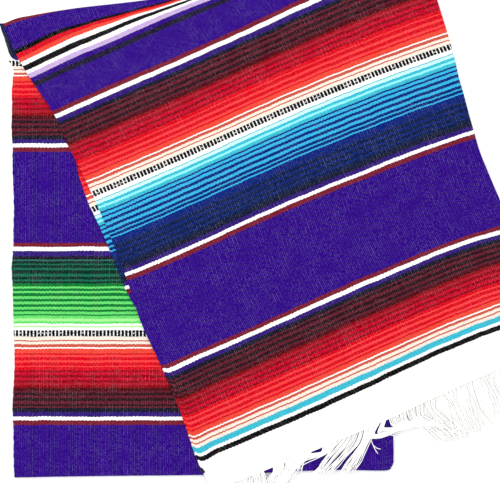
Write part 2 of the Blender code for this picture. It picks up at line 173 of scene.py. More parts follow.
def gridQuads(rows, columns, closeColumns=False):
    # quads of a grid of points stored row by row; a closed side runs on to the first column
    index = np.arange(rows * columns).reshape(rows, columns)
    if closeColumns:
        index = np.concatenate([index, index[:, :1]], axis=1)
    return np.stack([index[:-1, :-1], index[:-1, 1:], index[1:, 1:], index[1:, :-1]], axis=-1).reshape(-1, 4)


def addMesh(name, points, faces, weave, material):
    # points and faces become one piece; weave is the place in the weave of every point, across and along
    mesh = bpy.data.meshes.new(name)
    mesh.from_pydata((points - np.array([*blanket["middle"], 0])).tolist(), [], faces)
    layer = mesh.uv_layers.new(name="weave")
    corners = np.empty(len(mesh.loops), np.int32)
    mesh.loops.foreach_get("vertex_index", corners)
    layer.data.foreach_set("uv", weave[corners].astype(np.float32).ravel())
    mesh.shade_smooth()
    mesh.materials.append(material)
    piece = bpy.data.objects.new(name, mesh)
    bpy.context.scene.collection.objects.link(piece)
    return piece


def addPly(name, grid, weave, material, thinFirst=True):
    # one ply: an open grid with the cloth's thickness on both sides, its raw edges thinned to a soft edge
    rows, columns, _ = grid.shape
    faces = gridQuads(rows, columns).tolist()
    piece = addMesh(name, grid.reshape(-1, 3), faces, weave.reshape(-1, 2), material)
    body = np.ones((rows, columns))
    body[:, 0], body[:, 1] = 0.35, 0.78
    if thinFirst:
        body[0] = np.minimum(body[0], 0.40)
        body[1] = np.minimum(body[1], 0.80)
    group = piece.vertex_groups.new(name="body")
    flat = body.ravel()
    for weight in np.unique(flat):
        group.add(np.flatnonzero(flat == weight).tolist(), float(weight), "REPLACE")
    solid = piece.modifiers.new("Cloth", "SOLIDIFY")
    solid.thickness = blanket["cloth"]
    solid.offset = 0
    solid.vertex_group = "body"
    return piece


yarns = dict(  # dyed wool, 0 to 255
    white=(235, 234, 232), ivory=(224, 212, 199),
    coral=(184, 76, 60), orangeCoral=(212, 64, 48), orange=(236, 58, 57),
    brightRed=(192, 2, 25), red=(176, 2, 38), crimson=(157, 19, 41), darkRed=(128, 2, 12),
    wine=(69, 6, 17), plum=(87, 22, 38), soot=(38, 13, 21), coal=(18, 18, 33), black=(4, 4, 6),
    maroon=(108, 22, 40), purple=(42, 4, 116), indigo=(43, 19, 105), lavender=(179, 155, 198),
    slate=(18, 22, 49), nightBlue=(7, 25, 62), darkBlue=(9, 31, 98), royalBlue=(2, 29, 109),
    lightBlue=(46, 160, 204), navy=(0, 34, 104), ink=(22, 18, 44),
    cyan=(51, 169, 190), aqua=(134, 221, 234), paleCyan=(186, 240, 242), thinCyan=(40, 148, 162),
    teal=(44, 100, 88), pine=(2, 40, 32), green=(14, 92, 68), midGreen=(2, 106, 40),
    lightGreen=(90, 199, 97), paleGreen=(157, 226, 138),
)

# charts run along the warp, as (yarn, millimetres)
redShades = [
    ("ivory", 7.2), ("coral", 2.4), ("ivory", 6.0), ("coral", 5.8), ("white", 2.8), ("orangeCoral", 9.6),
    ("brightRed", 3.0), ("orange", 4.0), ("brightRed", 6.6), ("orange", 4.0), ("brightRed", 7.0),
    ("orange", 2.2), ("brightRed", 7.2), ("darkRed", 3.2), ("red", 6.2), ("darkRed", 4.8), ("red", 5.0),
    ("darkRed", 5.2), ("crimson", 4.8), ("darkRed", 5.6), ("wine", 6.6), ("plum", 3.4), ("soot", 5.4),
    ("plum", 5.0), ("soot", 6.0), ("plum", 6.0), ("soot", 4.4), ("plum", 3.2), ("coal", 7.8), ("indigo", 9.2),
    ("white", 8.0), ("maroon", 8.8),
]
blueShades = [
    ("slate", 7.6), ("nightBlue", 2.6), ("nightBlue", 4.6), ("darkBlue", 4.4), ("nightBlue", 5.2),
    ("darkBlue", 6.4), ("nightBlue", 5.6), ("darkBlue", 5.2), ("nightBlue", 5.6), ("darkBlue", 8.0),
    ("royalBlue", 8.8), ("lightBlue", 2.4), ("navy", 5.9), ("lightBlue", 2.6), ("navy", 5.7),
    ("lightBlue", 6.2), ("navy", 5.4), ("lightBlue", 6.0), ("navy", 5.4), ("lightBlue", 5.8), ("navy", 3.6),
    ("lightBlue", 4.8), ("navy", 3.4), ("cyan", 6.8), ("aqua", 4.0), ("cyan", 6.0), ("paleCyan", 5.8),
    ("thinCyan", 2.4), ("white", 8.4),
]
greenShades = [
    ("coal", 7.6), ("teal", 2.6), ("pine", 5.2), ("green", 2.6), ("pine", 5.0), ("green", 5.0), ("pine", 6.0),
    ("green", 6.0), ("pine", 5.2), ("green", 3.8), ("pine", 4.0), ("midGreen", 7.0), ("lightGreen", 4.0),
    ("midGreen", 6.0), ("lightGreen", 4.0), ("midGreen", 6.0), ("lightGreen", 5.0), ("midGreen", 6.0),
    ("lightGreen", 6.0), ("midGreen", 5.0), ("lightGreen", 5.0), ("midGreen", 4.0), ("lightGreen", 5.0),
    ("midGreen", 4.0), ("lightGreen", 6.2), ("paleGreen", 4.8), ("lightGreen", 4.6), ("white", 4.4),
    ("paleGreen", 3.4), ("white", 6.0),
]
ticks = [("ticks", 12.2)]
divider = [("maroon", 8.6), ("white", 7.6), ("indigo", 9.6)]

upperChart = ([("white", 72.7), ("black", 10.7), ("white", 6.2), ("cyan", 10.6)] + redShades
              + [("purple", 182.0)] + divider[:2] + [("indigo", 8.6)] + blueShades + ticks + redShades
              + [("purple", 57.4), ("ink", 11.0), ("purple", 8.7), ("lavender", 9.6), ("white", 7.3),
                 ("black", 11.6), ("white", 8.7), ("orangeCoral", 9.8), ("brightRed", 9.6), ("black", 8.4),
                 ("purple", 40.0)]
              + divider + blueShades)
lowerChart = (blueShades + ticks + redShades + [("purple", 182.0)] + divider[:2] + [("indigo", 10.8)]
              + greenShades + ticks + redShades + [("purple", 182.0)] + divider)
lowerChartStart = -0.1546  # the lower leaf counts from its first row of ticks

# the lower leaf's warp, from its height on the table to its place in the chart
lowerWarp = [(0.6, -0.239), (0.376, -0.005), (0.361, 0.0), (0.3436, 0.0216), (0.337, 0.0304),
             (0.331, 0.0374), (0.315, 0.0527), (0.3, 0.0675), (0.291, 0.0769), (0.267, 0.101),
             (0.243, 0.125), (0.21, 0.1581), (0.1816, 0.1875), (0.155, 0.2143), (0.1, 0.2697),
             (-0.0014, 0.3706), (-0.0284, 0.3976), (-0.045, 0.4142), (-0.075, 0.4425), (-0.093, 0.4608),
             (-0.117, 0.486), (-0.1778, 0.547), (-0.19, 0.5592), (-0.3664, 0.7356),
             (-0.4702, 0.8394), (-0.6, 0.9692)]

weaveLook = dict(
    rib=0.00365,  # from one warp to the next
    pick=0.0016,  # from one weft to the next
    serration=0.0006,  # how far a stripe's edge steps back on every other warp
    drift=0.0014,  # slow wander of the stripes
    driftScale=22.0,
    toneRange=0.22,  # from crossing to crossing
    rowToneRange=0.06,  # from weft to weft
    paintedGrooveShade=0.16,  # painted shading: how much the colour is darkened between two ribs, as if the grooves were in shadow
    tickHalf=0.60,  # half a tick's width in ribs, at least
    tickRagged=0.34,  # how much more it has at most
    tickOver=0.0004,  # how far ticks reach past their row
    tickStagger=0.0012,  # how unevenly they start
    tickGap=0.0006,  # half the gap in a tick that is cut
    tickWhole=0.7,  # share of the warps whose ticks are not cut
    warp=(236, 228, 232),
    grin=0.115,  # how far the warp shows through between two ribs
    grinHalf=0.15,  # half the width of that, in ribs
    grinOff=0.45,  # share of the specks left out
    grinLess=0.45,  # how much fainter every other groove is
    patchScale=26.0,
    bump=0.55,
    bumpDepth=0.0005,
)


def addNode(tree, kind, **settings):
    node = tree.nodes.new(kind)
    for name, value in settings.items():
        setattr(node, name, value)
    return node


def calc(tree, operation, *values):
    node = addNode(tree, "ShaderNodeMath", operation=operation)
    for socket, value in zip(node.inputs, values):
        if isinstance(value, bpy.types.NodeSocket):
            tree.links.new(value, socket)
        else:
            socket.default_value = value
    return node.outputs[0]


def mix(tree, factor, first, second, blend="MIX"):
    node = addNode(tree, "ShaderNodeMix", data_type="RGBA", blend_type=blend)
    for index, value in ((0, factor), (6, first), (7, second)):
        if isinstance(value, bpy.types.NodeSocket):
            tree.links.new(value, node.inputs[index])
        else:
            node.inputs[index].default_value = value
    return node.outputs[2]


def linear(colour):
    c = np.array(colour) / 255
    c = np.where(c <= 0.04045, c / 12.92, ((c + 0.055) / 1.055) ** 2.4)
    return (*np.clip(c, 0, 0.98).tolist(), 1.0)


def cellNoise(tree, column, row):
    # one random number for every cell of a grid
    cell = addNode(tree, "ShaderNodeCombineXYZ")
    tree.links.new(column, cell.inputs[0])
    tree.links.new(row, cell.inputs[1])
    noise = addNode(tree, "ShaderNodeTexWhiteNoise", noise_dimensions="2D")
    tree.links.new(cell.outputs[0], noise.inputs["Vector"])
    return noise.outputs[0]


def stripeColours(tree, along, chart, start):
    # the chart as stepped ramps of up to 30 stripes, each taking over where the one before it ends
    edges = start + np.concatenate([[0], np.cumsum([width for _, width in chart])]) / 1000
    colour = None
    for first in range(0, len(chart), 30):
        last = min(first + 30, len(chart))
        low, high = float(edges[first]), float(edges[last])
        place = calc(tree, "DIVIDE", calc(tree, "SUBTRACT", along, low), high - low)
        ramp = addNode(tree, "ShaderNodeValToRGB")
        ramp.color_ramp.interpolation = "CONSTANT"
        stops = ramp.color_ramp.elements
        while len(stops) < last - first:
            stops.new(0.5)
        for i in range(last - first):
            name = chart[first + i][0]
            stops[i].position = (float(edges[first + i]) - low) / (high - low)
            stops[i].color = linear(yarns["white" if name == "ticks" else name])
        tree.links.new(place, ramp.inputs[0])
        if colour is None:
            colour = ramp.outputs[0]
        else:
            colour = mix(tree, calc(tree, "GREATER_THAN", along, low), colour, ramp.outputs[0])
    return colour, [(float(edges[i]), float(edges[i + 1])) for i, s in enumerate(chart) if s[0] == "ticks"]


def newMaterial(name, roughness, specular):
    material = bpy.data.materials.new(name)
    material.use_nodes = True
    shader = material.node_tree.nodes["Principled BSDF"]
    shader.inputs["Roughness"].default_value = roughness
    shader.inputs["Specular IOR Level"].default_value = specular
    return material, material.node_tree, shader


def weavePlace(tree):
    # the place in the weave, then how far across and how far along
    place = addNode(tree, "ShaderNodeUVMap", uv_map="weave")
    parts = addNode(tree, "ShaderNodeSeparateXYZ")
    tree.links.new(place.outputs[0], parts.inputs[0])
    return place.outputs[0], parts.outputs[0], parts.outputs[1]


def addNoise(tree, scale, detail=2.0, place=None, **settings):
    # soft noise, over the piece's own coordinates if no place is given
    if place is None:
        place = addNode(tree, "ShaderNodeTexCoord").outputs["Object"]
    noise = addNode(tree, "ShaderNodeTexNoise", **settings)
    noise.inputs["Scale"].default_value = scale
    noise.inputs["Detail"].default_value = detail
    tree.links.new(place, noise.inputs["Vector"])
    return noise.outputs[0]


def randomOf(tree, value):
    # one random number for every value
    noise = addNode(tree, "ShaderNodeTexWhiteNoise", noise_dimensions="1D")
    tree.links.new(value, noise.inputs["W"])
    return noise.outputs[0]


def addBump(tree, shader, height, strength, depth):
    bump = addNode(tree, "ShaderNodeBump")
    bump.inputs["Strength"].default_value = strength
    bump.inputs["Distance"].default_value = depth
    tree.links.new(height, bump.inputs["Height"])
    tree.links.new(bump.outputs[0], shader.inputs["Normal"])


def stripedWool(name, chart, start):
    # weft-faced weave: ribs along the warp, stripes across it that step at every other rib, and a little
    # white warp showing between the ribs
    look = weaveLook
    material, tree, shader = newMaterial(name, 0.88, 0.04)
    shader.inputs["Sheen Weight"].default_value = 0.01
    shader.inputs["Sheen Roughness"].default_value = 0.5
    place, across, along = weavePlace(tree)

    def work(operation, *values):
        return calc(tree, operation, *values)

    ribs = work("DIVIDE", across, look["rib"])
    rib = work("FLOOR", ribs)
    other = work("FLOORED_MODULO", rib, 2.0)
    step = work("MULTIPLY", work("SUBTRACT", other, 0.5), look["serration"])
    slow = addNoise(tree, look["driftScale"], place=place, noise_dimensions="2D")
    drift = work("MULTIPLY", work("SUBTRACT", slow, 0.5), look["drift"] * 2)
    jitter = randomOf(tree, rib)
    shake = work("MULTIPLY", work("SUBTRACT", jitter, 0.5), look["serration"])
    moved = work("ADD", work("ADD", along, step), work("ADD", drift, shake))
    colour, tickBands = stripeColours(tree, moved, chart, start)
    # every crossing of a warp and a weft has a tone of its own
    picks = work("DIVIDE", moved, look["pick"])
    pickRow = work("FLOOR", picks)
    tone = cellNoise(tree, rib, pickRow)
    for low, high in tickBands:
        # ticks: every other warp is covered in black, with ragged sides, and some are cut in the middle
        fromMiddle = work("ABSOLUTE", work("SUBTRACT", work(
            "FLOORED_MODULO", work("SUBTRACT", ribs, 0.5), 2.0), 1.0))
        wide = work("LESS_THAN", fromMiddle, work("MULTIPLY_ADD", tone, look["tickRagged"], look["tickHalf"]))
        over = look["tickOver"]
        begun = work("GREATER_THAN", moved, work("MULTIPLY_ADD", jitter, look["tickStagger"], low - over))
        inside = work("MULTIPLY", begun, work("LESS_THAN", moved, high + over))
        inMiddle = work("COMPARE", moved, (low + high) / 2, look["tickGap"])
        cut = work("MULTIPLY", inMiddle, work("GREATER_THAN", jitter, look["tickWhole"]))
        black = work("MULTIPLY", work("MULTIPLY", inside, wide), work("SUBTRACT", 1.0, cut))
        colour = mix(tree, black, colour, linear(yarns["black"]))

    def around(value, spread):
        # a value from 0 to 1 as a factor about 1
        return work("MULTIPLY_ADD", value, spread, 1 - spread / 2)

    rowTone = randomOf(tree, pickRow)
    toneAndShade = work("MULTIPLY", around(tone, look["toneRange"]), around(rowTone, look["rowToneRange"]))
    # painted shading: the colour is darkened along the grooves between the ribs; the crossing and weft tones
    # it multiplies are the yarn's own
    groove = work("ABSOLUTE", work("SINE", work("MULTIPLY", ribs, math.pi)))
    toneAndShade = work("MULTIPLY", toneAndShade, around(groove, look["paintedGrooveShade"]))
    grey = addNode(tree, "ShaderNodeCombineColor")
    for socket in grey.inputs[:3]:
        tree.links.new(toneAndShade, socket)
    colour = mix(tree, 1.0, colour, grey.outputs[0], "MULTIPLY")
    # the warp shows as specks in the grooves, most in every other groove, and more in some patches
    nearest = work("FLOOR", work("ADD", ribs, 0.5))
    inGroove = work("LESS_THAN", work("ABSOLUTE", work("SUBTRACT", ribs, nearest)), look["grinHalf"])
    everyOther = work("MULTIPLY_ADD", work("FLOORED_MODULO", nearest, 2.0), -look["grinLess"], 1.0)
    speck = work("GREATER_THAN", cellNoise(tree, work("ADD", nearest, 0.5), pickRow), look["grinOff"])
    patch = addNoise(tree, look["patchScale"], 3.0, place, noise_dimensions="2D")
    much = work("MINIMUM", work("MAXIMUM", work("MULTIPLY_ADD", patch, 1.6, -0.2), 0.2), 1.0)
    grin = work("MULTIPLY", work("MULTIPLY", inGroove, speck), work(
        "MULTIPLY", work("MULTIPLY", much, everyOther), look["grin"]))
    colour = mix(tree, grin, colour, linear(look["warp"]))
    tree.links.new(colour, shader.inputs["Base Color"])
    weft = work("ABSOLUTE", work("SINE", work("MULTIPLY", picks, math.pi)))
    relief = work("ADD", work("MULTIPLY", groove, 0.6), work("MULTIPLY", weft, 0.4))
    addBump(tree, shader, relief, look["bump"], look["bumpDepth"])
    return material


fuzzScale = 900.0  # fine fuzz on single yarns
twistPitch = 0.0055  # from one ply to the next along a warp end


def warpCotton():
    # twisted white warp ends: slanting plies from the length along the strand and the way round it
    material, tree, shader = newMaterial("Warp cotton", 0.8, 0.15)
    shader.inputs["Sheen Weight"].default_value = 0.15
    _, around, along = weavePlace(tree)
    turn = calc(tree, "ADD", around, calc(tree, "DIVIDE", along, twistPitch))
    twist = calc(tree, "ABSOLUTE", calc(tree, "SINE", calc(tree, "MULTIPLY", turn, math.pi)))
    height = calc(tree, "ADD", twist, calc(tree, "MULTIPLY", addNoise(tree, fuzzScale), 0.5))
    # painted shading: the white is a little darker in the grooves between the twisted plies and lighter on
    # their crests
    colour = mix(tree, calc(tree, "MULTIPLY", twist, 0.8), linear((250, 248, 244)), linear((255, 254, 252)))
    tree.links.new(colour, shader.inputs["Base Color"])
    addBump(tree, shader, height, 0.5, 0.0003)
    return material


upperWool = stripedWool("Striped wool of the upper leaf", upperChart, 0.0)
lowerWool = stripedWool("Striped wool of the lower leaf", lowerChart, lowerChartStart)
cotton = warpCotton()
print("yarns dyed")

upperLeaf = dict(
    # its selvedge and its lengthwise fold, as (distance along the warp from the woven end, x, y)
    left=[(0.0, -0.0752, -0.5005), (0.035, -0.0903, -0.4685), (0.078, -0.108, -0.429),
          (0.15, -0.131, -0.361), (0.264, -0.174, -0.256), (0.364, -0.22, -0.157),
          (0.43, -0.24, -0.095), (0.536, -0.276, 0.001), (0.646, -0.317, 0.096),
          (0.69, -0.338, 0.14), (0.746, -0.369, 0.202), (0.8, -0.391, 0.252), (0.88, -0.438, 0.323),
          (0.956, -0.471, 0.381), (1.012, -0.493, 0.435), (1.06, -0.512, 0.48)],
    right=[(0.0, 0.608, -0.217), (0.078, 0.582, -0.143), (0.264, 0.521, 0.029),
           (0.39, 0.472, 0.145), (0.43, 0.4572, 0.1824), (0.471, 0.446, 0.221),
           (0.5, 0.4379, 0.2488), (0.53, 0.4302, 0.2779), (0.56, 0.4221, 0.3073),
           (0.58, 0.4164, 0.3269), (0.61, 0.4098, 0.3562), (0.646, 0.4008, 0.391),
           (0.76, 0.3647, 0.499), (0.816, 0.343, 0.561), (1.06, 0.269, 0.79)],
    # how far the weft bows towards the fringe at three places across
    bow=[(0.0, 0.002, 0.001, -0.004), (0.078, 0.008, -0.001, -0.0065),
         (0.264, -0.0006, -0.0064, -0.0126), (0.471, 0.002, -0.0044, -0.0068),
         (0.646, -0.0016, -0.006, -0.007), (0.816, -0.003, -0.0012, -0.0016),
         (1.06, -0.003, -0.0012, -0.0016)],
    headSearch=(0.75, 1.06),  # the head fold lies between these distances
    rollLength=0.007,  # selvedge that curls under beside the fringe
    rollRadius=0.0026,
    rollRise=0.0026,
    rollRamp=0.06,
    rollFrom=0.22,
    rollTo=0.34,
    kink=0.0075,  # how far the pull on the last warps bends the stripes
    kinkReach=0.007,
    across=176,
    along=222,
)

# how far the stripes have wandered along the warp, in millimetres: a row for each distance from the woven
# end, a column for each share of the width
stripeDrift = dict(
    shares=[0.02, 0.045, 0.12, 0.20, 0.30, 0.38, 0.50, 0.70, 0.88],
    rows=[
        (0, 8.5, 3.6, -1, -3, -0.5, 0.1, 1, 1, 1),
        (0.08, 8.5, 3.6, -1, -3, -1, -0.2, 1, 1, 1),
        (0.1, 7, 3, -2, -4, -3, -1.4, 1, 2, 1.5),
        (0.14, 6, 3.2, -1, -3, -2, -0.5, 1.8, 4.5, 4.2),
        (0.19, 5.5, 3.9, -0.5, -1.5, -1, 0.2, 2, 5, 4.5),
        (0.24, 5.5, 4.6, 2, 1.5, 0, 0.8, 2, 5.2, 5.5),
        (0.27, 5.8, 5.5, 4.5, 4, 2.5, 2.5, 2.5, 6, 6.5),
        (0.455, 10.5, 9.6, 7, 5.5, 3, 2.8, 2.5, 4.5, 3),
        (0.478, 10.2, 9.2, 6.5, 5.2, 2.8, 2.6, 2.3, 4, 2.6),
        (0.495, 8.5, 7.4, 4.5, 4, 1.5, 1.3, 1, 2.5, 0.6),
        (0.52, 7, 6.2, 4, 3, 1.5, 1.1, 0.5, 2, 0.5),
        (0.56, 5, 4.3, 2.5, 1.5, 1.2, 0.7, 0, 1, 0),
        (0.59, 2.5, 1.8, 0, 0, -1, -1, -1, 0, -0.5),
        (0.61, 0, -0.3, -1, -0.5, -1.5, -1.7, -2, -2, -1),
        (0.64, 0, -0.3, -1, -0.5, -1, -1.4, -2, -2, -1),
        (0.67, 3, 3.2, 3.5, 2.5, 2.5, 1.5, 0, -1, -0.5),
        (0.69, 5.5, 5.5, 5.5, 5, 4, 2.6, 0.5, -1.5, -1.5),
        (0.72, 11.5, 11.5, 11.5, 10.5, 8, 5.2, 1, -3, -5.5),
        (0.745, 16.5, 16.1, 15, 13.2, 10.2, 7.3, 3, -3, -7),
        (0.78, 17, 16.6, 15.3, 13.2, 10.6, 7.6, 3, -3.2, -7),
        (0.82, 17.2, 16.8, 15.6, 13.6, 11, 8, 3.5, -4.5, -7),
        (0.865, 20, 19.6, 18.5, 16.8, 12, 8.6, 4, -4.5, -7),
        (0.895, 18.8, 18.2, 16.4, 16, 12, 9.4, 8, -4.5, -7),
        (0.902, 17.6, 17, 15.4, 15.4, 11.5, 9.7, 8, -4.5, -7),
        (0.91, 16.6, 15.9, 14, 12, 9.5, 10, 11, -4.5, -7),
        (0.919, 15.6, 14.9, 13.2, 13.6, 12.8, 20, 38, -4.5, -7),
        (0.928, 14.9, 14.1, 12.2, 12.4, 18.6, 39, 50, -4.5, -7),
        (0.94, 14, 13, 10.8, 13.8, 33, 46, 50, -4.5, -7),
        (0.95, 12.5, 11.7, 10.6, 19.5, 34, 46, 50, -4.5, -7),
        (0.962, 11, 10.5, 10.8, 23.5, 34.5, 46, 50, -4.5, -7),
        (0.973, 8.5, 9.3, 13, 26.5, 34.5, 46, 50, -4.5, -7),
        (0.989, 6, 8.1, 15.3, 30, 34.5, 46, 50, -4.5, -7),
        (1.004, 3.5, 6.3, 15.5, 30, 34.5, 46, 50, -4.5, -7),
        (1.06, 3, 6, 15.5, 30, 34.5, 46, 50, -4.5, -7),
    ],
)


def drift(share, along):
    # the table's smooth curve across the width at every row, then the smooth curve along each warp
    across = np.array([readCurve(list(zip(stripeDrift["shares"], row[1:])), 1, share)
                       for row in stripeDrift["rows"]])
    distances = [row[0] for row in stripeDrift["rows"]]
    return np.stack([readCurve(list(zip(distances, across[:, j])), 1, along[:, j])
                     for j in range(len(share))], axis=1) / 1000


def curl(along):
    # 1 where the selvedge is curled under, 0 where it lies flat
    return ease(along - upperLeaf["rollFrom"], upperLeaf["rollTo"] - upperLeaf["rollFrom"])


def upperHeight(x, y, toFold):
    # middle of the top ply, which rises to its roll along the lengthwise fold
    rise = blanket["foldRise"] * ease(toFold, blanket["foldRamp"])
    return restHeight(x, y) + ply + half + rise + creaseHeight(x, y, upperCreases)


def upperEdges(along):
    left = np.stack([readCurve(upperLeaf["left"], c, along) for c in (1, 2)], axis=-1)
    right = np.stack([readCurve(upperLeaf["right"], c, along) for c in (1, 2)], axis=-1)
    return left, right


def upperPlan(share, along):
    # straight from edge to edge, plus the quartic that is 0 at both edges and has the bows at the quarters
    left, right = upperEdges(along)
    span = right - left
    width = np.linalg.norm(span, axis=-1)
    out = np.stack([span[..., 1], -span[..., 0]], axis=-1) / width[..., None]
    quarter, middle, three = (readCurve(upperLeaf["bow"], c, along) for c in (1, 2, 3))
    s = np.clip(share, 0, 1)
    bow = (quarter * s * (s - 0.5) * (s - 0.75) * (s - 1) / (0.25 * -0.25 * -0.5 * -0.75)
           + middle * s * (s - 0.25) * (s - 0.75) * (s - 1) / (0.5 * 0.25 * -0.25 * -0.5)
           + three * s * (s - 0.25) * (s - 0.5) * (s - 1) / (0.75 * 0.5 * 0.25 * -0.25))
    return left + span * share[..., None] + out * bow[..., None], width, span / width[..., None]


def headAlong(share):
    # distance along the warp at which each warp reaches the head fold
    samples = np.linspace(*upperLeaf["headSearch"], 400)
    reach = []
    for s in share:
        plan, _, _ = upperPlan(np.full_like(samples, s), samples)
        reach.append(np.interp(0.0, plan[:, 1] - headLine(plan[:, 0]), samples))
    return np.array(reach)


def turnUnder(plan, height, side, sideOut, end, endOut):
    # past a fold a point goes round a half cylinder to the floor, and round a ball at a corner
    turned = np.maximum(side, end)
    out = side[..., None] * sideOut + end[..., None] * endOut
    length = np.linalg.norm(out, axis=-1)
    out = out / np.where(length > 0, length, 1)[..., None]
    radius = (height - half) / 2
    angle = turned * blanket["wrap"]
    plan = plan + out * radius[..., None] * np.sin(angle)[..., None]
    return raised(plan, height - radius * (1 - np.cos(angle))), turned * blanket["wrap"] * radius


scallops = [(0.0189, 1.0, 0.0), (0.0312, 0.7, 2.0), (0.0113, 0.8, 0.7)]  # length, weight, start


def selvedgeWobble(along, across, reach=0.035, size=0.00032):
    # small scallops where the weft turns back, dying out inside the edge
    wave = sum(weight * np.sin(along / length * 2 * math.pi + start) for length, weight, start in scallops)
    return size * wave * ease(np.maximum(across, 0), reach)


foldSteps = 9
pastFold = np.arange(1, foldSteps + 1) / foldSteps
rollShares = np.array([1.0, 0.93, 0.80, 0.60, 0.40, 0.20])


def upperTopGrid():
    inner = np.linspace(0, 1, upperLeaf["across"] + 1)
    share = np.concatenate([np.zeros(len(rollShares)), inner, np.ones(foldSteps)])
    pastLeft = np.concatenate([rollShares, np.zeros(len(inner) + foldSteps)])
    pastRight = np.concatenate([np.zeros(len(rollShares) + len(inner)), pastFold])
    rows = softShares(0.0006, 0.0016, upperLeaf["along"])
    part = np.concatenate([rows, np.ones(foldSteps)])
    pastHead = np.concatenate([np.zeros(len(rows)), pastFold])
    shareGrid, partGrid = np.meshgrid(share, part)
    along = partGrid * headAlong(share)[None, :]
    bend = np.maximum(curl(along), 0.02) / upperLeaf["rollRadius"]
    reach = np.sin(np.minimum(bend * upperLeaf["rollLength"], math.pi / 2)) / bend
    _, width, _ = upperPlan(shareGrid, along)
    moved = shareGrid + (1 - shareGrid) * reach / width
    plan, width, acrossOut = upperPlan(moved, along)
    height = upperHeight(plan[..., 0], plan[..., 1], (1 - moved) * width)
    height = height + upperLeaf["rollRise"] * ease(moved * width, upperLeaf["rollRamp"]) * curl(along)
    arc = pastLeft[None, :] * upperLeaf["rollLength"]
    plan = plan - acrossOut * (np.sin(bend * arc) / bend + selvedgeWobble(along, moved * width))[..., None]
    height = height - (1 - np.cos(bend * arc)) / bend
    slope = (headLine(plan[..., 0] + 0.01) - headLine(plan[..., 0] - 0.01)) / 0.02
    headOut = unit(np.stack([-slope, np.ones_like(slope)], axis=-1))
    side = np.broadcast_to(pastRight[None, :], along.shape)
    end = np.broadcast_to(pastHead[:, None], along.shape)
    grid, turned = turnUnder(plan, height, side, acrossOut, end, headOut)
    across = moved * width - arc + turned * (side > 0)
    # the last warps are pulled tight, so the stripes kink towards the head along the selvedge
    near = np.clip(1 - (across + arc) / upperLeaf["kinkReach"], 0, 1)
    kink = upperLeaf["kink"] * near * (0.6 + 0.4 * curl(along))
    return grid, np.stack([across, along + drift(share, along) - kink + turned * (end > 0)], axis=-1)


grid, weave = upperTopGrid()
upperTop = addPly("UpperLeafTop", grid, weave, upperWool)

underPly = dict(
    # its selvedge inward from the top ply's; it shows where this is negative
    shift=[(0.0, 0.015), (0.29, 0.015), (0.37, 0.004), (0.43, -0.009), (0.47, -0.0105),
           (0.6, -0.0135), (0.625, -0.0145), (0.66, -0.0115), (0.69, -0.007), (0.722, 0.004),
           (0.895, 0.004), (0.929, 0.004), (0.936, -0.0045), (0.943, -0.0098), (0.97, -0.0104),
           (0.99, -0.009), (1.06, -0.0088)],
    inset=0.0004,  # it stops this short of the folds
    # how much nearer the fringe its stripes lie
    chartShift=[(0.0, 0.036), (0.45, 0.036), (0.5, 0.0345), (0.54, 0.03), (0.7, 0.03),
                (0.74, 0.03), (0.86, 0.09), (0.932, 0.09), (0.944, 0.091), (0.96, 0.08),
                (0.985, 0.058), (1.01, 0.038), (1.06, 0.0)],
    corner=0.009,  # how far its corner reaches past the top ply's at the head
    across=100,
    along=180,
)


def upperUnderGrid():
    share = softShares(0.0008, 0.002, underPly["across"])
    part = softShares(0.0006, 0.0016, underPly["along"])
    shareGrid, partGrid = np.meshgrid(share, part)
    along = partGrid * (headAlong(share) + underPly["corner"] * ease(share, 0.03))[None, :]
    _, width, _ = upperPlan(shareGrid, along)
    shift = readCurve(underPly["shift"], 1, along) / width
    shareGrid = shareGrid + shift * ease(shareGrid, 0.08)
    shareGrid = np.minimum(shareGrid, 1 - underPly["inset"] / width)
    plan, width, acrossOut = upperPlan(shareGrid, along)
    height = upperHeight(plan[..., 0], plan[..., 1], (1 - shareGrid) * width) - ply
    wobble = selvedgeWobble(along + 0.31, (shareGrid - shift) * width)
    plan = plan - acrossOut * wobble[..., None]
    weave = np.stack([shareGrid * width, along + readCurve(underPly["chartShift"], 1, along)], axis=-1)
    return raised(plan, height), weave


grid, weave = upperUnderGrid()
upperUnder = addPly("UpperLeafUnder", grid, weave, upperWool)
print("upper leaf laid")

lowerLeaf = dict(
    head=0.020,  # its own ply starts this far below the head fold
    across=150,
    along=186,
    hiddenInset=0.0012,
    hiddenHead=0.007,
    slant=0.012,  # how much further along the chart the right side lies
    slantFrom=0.35,
    slantOver=0.40,
)
leafLength = headFold[5][1] - footFold[3][1]


def lowerPlan(share, down):
    # the leaf's four edges blended: side lines by share, fold lines by how far down, less the corners
    def sideLine(table):
        y = table[0][1] + (table[-1][1] - table[0][1]) * down
        return np.stack([readCurve(table, 0, y, key=1), y], axis=-1)

    def foldRow(startX, endX, line):
        x = startX + (endX - startX) * share
        return np.stack([x, line(x)], axis=-1)

    head = foldRow(lowerLeft[0][0], lowerRight[0][0], headLine)
    foot = foldRow(lowerLeft[-1][0], lowerRight[-1][0], footLine)
    s, t = share[..., None], down[..., None]
    corners = ((1 - s) * (1 - t) * np.array(lowerLeft[0]) + s * (1 - t) * np.array(lowerRight[0])
               + (1 - s) * t * np.array(lowerLeft[-1]) + s * t * np.array(lowerRight[-1]))
    return (1 - s) * sideLine(lowerLeft) + s * sideLine(lowerRight) + (1 - t) * head + t * foot - corners


def lowerWeave(plan):
    # across from the selvedge, and along the chart by the height on the table
    rows = np.array(lowerWarp[::-1])
    across = plan[..., 0] - lowerLeft[-1][0]
    slant = lowerLeaf["slant"] * np.clip((across - lowerLeaf["slantFrom"]) / lowerLeaf["slantOver"], 0, 1)
    return np.stack([across, np.interp(plan[..., 1], rows[:, 0], rows[:, 1]) + slant], axis=-1)


